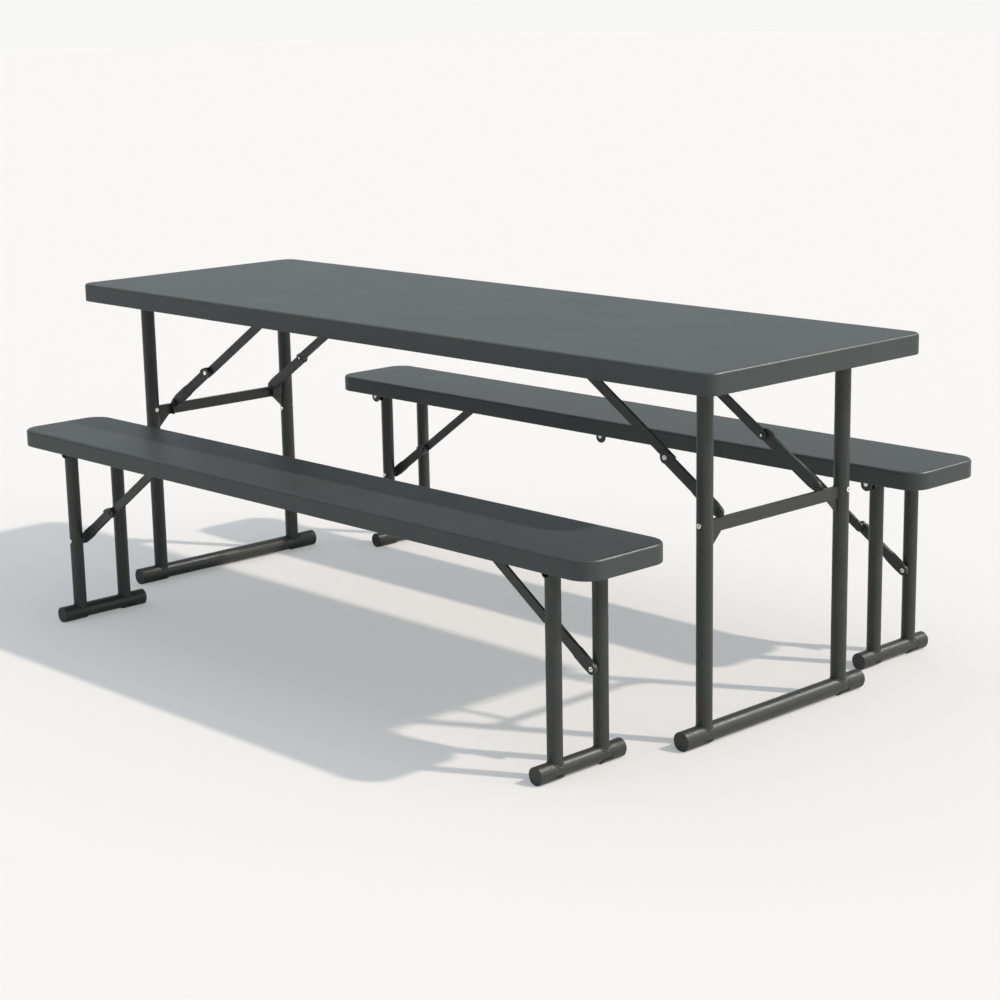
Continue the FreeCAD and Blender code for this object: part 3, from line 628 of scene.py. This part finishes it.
def underside_mesh(outline, top, underside, centre):
    """Triangles that fill the underside, with a sunk cone at each dimple."""
    points = [point.to_2d() for point in outline]
    heights = [underside] * len(points)
    outer = list(range(len(points)))
    edges = []
    for place in dimple_places(top):
        for share, sink in DIMPLE_RINGS:
            first = len(points)
            ring = circle(centre + place, ALONG, ACROSS, top.dimple_radius * share, DIMPLE_POINTS)
            points += [point.to_2d() for point in ring]
            heights += [underside + DIMPLE_DEPTH * sink] * DIMPLE_POINTS
            edges += [(first + step, first + (step + 1) % DIMPLE_POINTS) for step in range(DIMPLE_POINTS)]
    made = geometry.delaunay_2d_cdt(points, edges, [outer], TRIANGLES_INSIDE, FILL_TOLERANCE)
    flat_points, faces, sources = made[0], made[2], made[3]
    raised = [Vector((point.x, point.y, heights[source[0]])) for point, source in zip(flat_points, sources)]
    return raised, faces


def close_mesh(mesh):
    """Merges the points that the parts of a mesh share, and turns its faces outward."""
    work = bmesh.new()
    work.from_mesh(mesh)
    bmesh.ops.remove_doubles(work, verts=work.verts, dist=MERGE_DISTANCE)
    bmesh.ops.recalc_face_normals(work, faces=work.faces)
    work.to_mesh(mesh)
    work.free()


def dress_top(node, top):
    """Replaces a packed top with a finer one of the same size."""
    low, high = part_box(node)
    centre = (low + high) / 2
    half = (high - low) / 2
    rings = [plan_ring(half.x, half.y, top.corner_radius, inset, z, centre)
             for inset, z in top_profile(high.z, high.z - low.z)]
    count = len(rings[0])
    points = [point for ring in rings for point in ring]
    faces = []
    for level in range(len(rings) - 1):
        faces += ring_faces(level * count, (level + 1) * count, count)
    faces.append(tuple(range(count)))
    below, triangles = underside_mesh(rings[-1], top, high.z - PANEL_THICKNESS, centre)
    first = len(points)
    points += below
    faces += [tuple(first + corner for corner in reversed(triangle)) for triangle in triangles]
    mesh = mesh_from(node + "_shell", points, faces)
    close_mesh(mesh)
    shade_smooth(mesh, SMOOTH_ANGLE)
    place_piece(node + "_shell", mesh, "moulded_top", body_of(node), (node,))
    polish_edge(mesh, high.z)


def polish_edge(mesh, height):
    """The rounded edge of a top is glossier than its face, as hands and the mould leave it."""
    mesh.materials.append(POLISHED_EDGE)
    polished = len(mesh.materials) - 1
    for face in mesh.polygons:
        if face.center.z > height - TOP_EDGE_ROUND and POLISHED_TILT_LOW < face.normal.z < POLISHED_TILT_HIGH:
            face.material_index = polished


# Rivets: a low dome on each end, and in the plated ones a dark disc in the sunk middle, painted shade
# standing for the rivet's hollow

DOME_STEPS = 20
DOME_HEIGHT = 0.0006
# The disc of painted shade in a plated head: its share of the head's radius, and how far it rises
MIDDLE_SHARE = 0.31
MIDDLE_RISE_SHARE = 0.2
SHORT_RIVET = 0.02
KNEE_END_RADIUS = 0.003

# Shares of a dome's radius and of its height, from its foot to its sunk middle
DOME_PROFILE = ((1.0, 0.0), (0.97, 0.45), (0.82, 0.85), (0.62, 1.0), (0.46, 0.92), (0.36, 0.45), (0.30, 0.12),
                (0.0, 0.10))


def dome(end, direction, radius):
    """Points and faces of one turned head, from its foot to its sunk middle."""
    side = direction.orthogonal().normalized()
    other = direction.cross(side)
    points = []
    faces = []
    for share, rise in DOME_PROFILE[:-1]:
        points += circle(end + direction * DOME_HEIGHT * rise, side, other, radius * share, DOME_STEPS)
    points.append(end + direction * DOME_HEIGHT * DOME_PROFILE[-1][1])
    last = (len(DOME_PROFILE) - 2) * DOME_STEPS
    for first in range(0, last, DOME_STEPS):
        faces += ring_faces(first + DOME_STEPS, first, DOME_STEPS)
    faces += [(last + step, last + (step + 1) % DOME_STEPS, len(points) - 1) for step in range(DOME_STEPS)]
    faces.append(tuple(reversed(range(DOME_STEPS))))
    return points, faces


def painted_hole_shade(end, direction, radius):
    """A dark disc in the sunk middle of a head, painted as the shade of the rivet's hollow."""
    side = direction.orthogonal().normalized()
    other = direction.cross(side)
    points = []
    for rise in (0, DOME_HEIGHT * MIDDLE_RISE_SHARE):
        points += circle(end + direction * rise, side, other, radius * MIDDLE_SHARE, DOME_STEPS)
    faces = [tuple(reversed(range(DOME_STEPS))), tuple(range(DOME_STEPS, 2 * DOME_STEPS))]
    faces += ring_faces(DOME_STEPS, 0, DOME_STEPS)
    return points, faces


def rivet_ends(solid):
    """The place, direction and radius of a rivet's two ends, unless it stands upright as a screw does.
    A rivet lies along the one side of its box that differs most from the middle one of the three."""
    size = solid.high - solid.low
    axis = max(range(3), key=lambda way: abs(size[way] - sorted(size)[1]))
    direction = (ALONG, ACROSS, UP)[axis]
    if direction == UP:
        return []
    first = (solid.low + solid.high) / 2
    last = first.copy()
    first[axis] = solid.low[axis]
    last[axis] = solid.high[axis]
    radius = size.z / 2
    return [(first, -direction, radius), (last, direction, radius)]


def all_ends(solids):
    return [end for solid in solids for end in rivet_ends(solid)]


def dress_rivets():
    """Gives each packed rivet its domed ends."""
    for node in list(frame["nodes"]):
        if "rivet" not in node and "fixings" not in node:
            continue
        solids = solids_of(node)
        if node.endswith("table_rivets"):
            solids = part_rivets(node, solids)
        ends = all_ends(solids)
        body = body_of(node)
        place_parts(node + "_heads", [dome(*end) for end in ends], "zinc", body)
        if "fixings" not in node:
            # Each plated head gets a dark disc of painted shade in its middle, standing for its hollow
            place_parts(node + "_hole_shades", [painted_hole_shade(*end) for end in ends], "painted_steel", body)


def part_rivets(node, solids):
    """Makes the lugs' short rivets, painted with their frame, and the plated ones, which it returns."""
    painted = [solid for solid in solids if max(solid.high - solid.low) < SHORT_RIVET]
    plated = [solid for solid in solids if max(solid.high - solid.low) >= SHORT_RIVET]
    painted_parts = [(solid.points, solid.faces) for solid in painted]
    painted_parts += [dome(*end) for end in all_ends(painted)]
    place_parts(node + "_painted", painted_parts, "painted_steel", body_of(node), (node,))
    plated_parts = [(solid.points, solid.faces) for solid in plated]
    place_parts(node + "_plated", plated_parts, "zinc", body_of(node), (node,))
    return plated


def dress_knees():
    """The bright end of each knee rivet, in the middle of the button on the upper link."""
    for side in SIDES:
        links = solids_of(side + "_table_upper_braces")
        ends = []
        for rivet in solids_of(side + "_table_knee_rivets"):
            outward = 1 if rivet.low.y > 0 else -1
            link = next(solid for solid in links if solid.low.y * outward > 0)
            place = (rivet.low + rivet.high) / 2
            place.y = link.low.y if outward > 0 else link.high.y
            ends.append(dome(place, -ACROSS * outward, KNEE_END_RADIUS))
        place_parts(side + "_table_knee_ends", ends, "zinc", side + "_table_upper_links")


# Weld beads where the legs stand on the foot tubes

BEAD_RADIUS = 0.0017
BEAD_RIPPLE = 0.12
BEAD_RIPPLES = 40
BEAD_POINTS = 120
BEAD_SIDES = 8

# The foot of a leg frame: how far its legs stand from its middle, and the radii of its leg and foot tubes
Foot = namedtuple("Foot", "leg_y leg_radius tube_radius")

TABLE_FOOT = Foot(leg_y=0.206, leg_radius=0.016, tube_radius=0.018)
BENCH_FOOT = Foot(leg_y=0.061, leg_radius=0.015, tube_radius=0.0165)


def bead(path):
    """A closed bead of weld along a path, with the slight ripple of its runs."""
    points = []
    faces = []
    count = len(path)
    for index, place in enumerate(path):
        after = (index + 1) % count
        along = (path[after] - path[index - 1]).normalized()
        side = along.cross(UP).normalized()
        radius = BEAD_RADIUS * (1 + BEAD_RIPPLE * math.sin(index / count * FULL_TURN * BEAD_RIPPLES))
        points += circle(place, side, side.cross(along), radius, BEAD_SIDES)
        faces += ring_faces(index * BEAD_SIDES, after * BEAD_SIDES, BEAD_SIDES)
    return points, faces


def saddle_path(centre, leg_radius, tube_radius):
    """Where an upright tube meets the level tube that it stands on."""
    path = []
    for step in range(BEAD_POINTS):
        angle = step / BEAD_POINTS * FULL_TURN
        x = math.cos(angle) * leg_radius
        rise = math.sqrt(max(tube_radius ** 2 - x ** 2, 0))
        path.append(centre + Vector((x, math.sin(angle) * leg_radius, rise)))
    return path


def weld_feet(prefix, foot):
    """A bead round the foot of both legs of one leg frame."""
    low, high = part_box(prefix + "foot_tube")
    middle = (low + high) / 2
    beads = []
    for side in (-1, 1):
        centre = middle + ACROSS * side * foot.leg_y
        beads.append(bead(saddle_path(centre, foot.leg_radius, foot.tube_radius)))
    place_parts(prefix + "foot_welds", beads, "painted_steel", prefix + "leg_frame")


# The whole set

def paint_frame():
    """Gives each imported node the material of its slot."""
    for node, piece in frame["nodes"].items():
        slot = slot_of(node)
        piece.data.materials.clear()
        piece.data.materials.append(MATERIALS[slot])


def dress_frame():
    paint_frame()
    for node in list(frame["nodes"]):
        if slot_of(node) != "zinc" and any(word in node for word in EDGED_PIECES):
            break_edges(node)
    dress_top("table_top", TABLE_TOP)
    for bench in BENCHES:
        dress_top(bench + "_bench_seat", BENCH_TOP)
    dress_rivets()
    dress_knees()
    for side in SIDES:
        weld_feet(side + "_table_", TABLE_FOOT)
        for bench in BENCHES:
            weld_feet(bench + "_bench_" + side + "_", BENCH_FOOT)


make_camera()
make_lights()
make_world()
make_floor()
dress_frame()
bpy.context.scene.view_settings.view_transform = "Standard"
